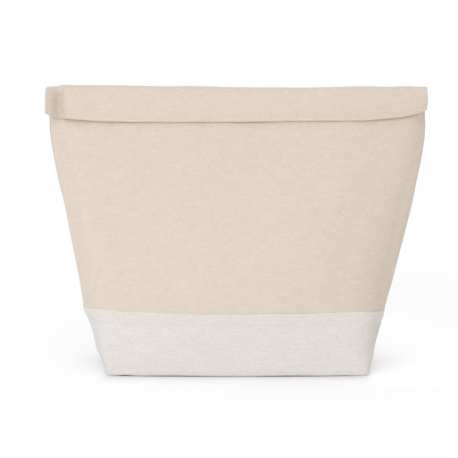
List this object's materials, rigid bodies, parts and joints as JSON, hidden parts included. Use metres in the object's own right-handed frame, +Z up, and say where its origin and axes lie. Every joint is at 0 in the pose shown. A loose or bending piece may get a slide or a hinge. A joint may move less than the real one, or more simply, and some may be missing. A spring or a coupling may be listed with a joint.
{
  "type": "cooler bag",
  "caption": "Insulated canvas lunch bag with a boxed white base, side gussets, silver lining and a fold-over top flap held by hook tape.",
  "frame": {"origin": "middle of the base, on the surface the bag stands on", "axes": "+Z up; front, where the flap hangs, towards -Y; +X along the flap, to the right as seen from the front"},
  "size_m": [0.336, 0.117, 0.2486],
  "materials": {
    "natural_canvas": "unbleached cotton canvas with slubs, matt",
    "white_canvas": "off-white cotton canvas, matt",
    "white_foam": "closed-cell foam sheet",
    "silver_film": "silver-faced lining film, crinkled",
    "hook_tape": "cream hook tape",
    "loop_tape": "cream loop tape",
    "binding_tape": "woven binding tape"
  },
  "bodies": {
    "bag": {"base_wrap": "white_canvas", "base_foam": "white_foam", "base_lining": "silver_film", "back_panel": "natural_canvas", "back_foam": "white_foam", "back_lining": "silver_film", "left_gusset": "natural_canvas", "left_gusset_foam": "white_foam", "left_gusset_lining": "silver_film", "right_gusset": "natural_canvas", "right_gusset_foam": "white_foam", "right_gusset_lining": "silver_film", "left_side_binding": "binding_tape", "right_side_binding": "binding_tape", "left_corner_binding": "binding_tape", "right_corner_binding": "binding_tape", "fold_canvas": "natural_canvas", "fold_foam": "white_foam", "fold_facing": "natural_canvas"},
    "front_wall": {"front_panel": "natural_canvas", "front_foam": "white_foam", "front_lining": "silver_film", "hook_strip": "hook_tape"},
    "flap": {"flap_outer": "natural_canvas", "flap_foam": "white_foam", "flap_facing": "natural_canvas", "loop_strip": "loop_tape"}
  },
  "joints": [
    {"name": "flap_fold", "type": "hinge", "parent": "bag", "child": "flap", "pos_m": [0, -0.00379, 0.23837], "axis": [-1, 0, 0], "range_deg": [0, 150], "deforming": ["fold_canvas", "fold_foam", "fold_facing"]},
    {"name": "mouth_open", "type": "hinge", "parent": "bag", "child": "front_wall", "pos_m": [0, -0.05, 0.052], "axis": [1, 0, 0], "range_deg": [0, 7.5]}
  ],
  "couplings": [
    {"joint": "mouth_open", "follows": "flap_fold", "ratio": 0.05}
  ]
}
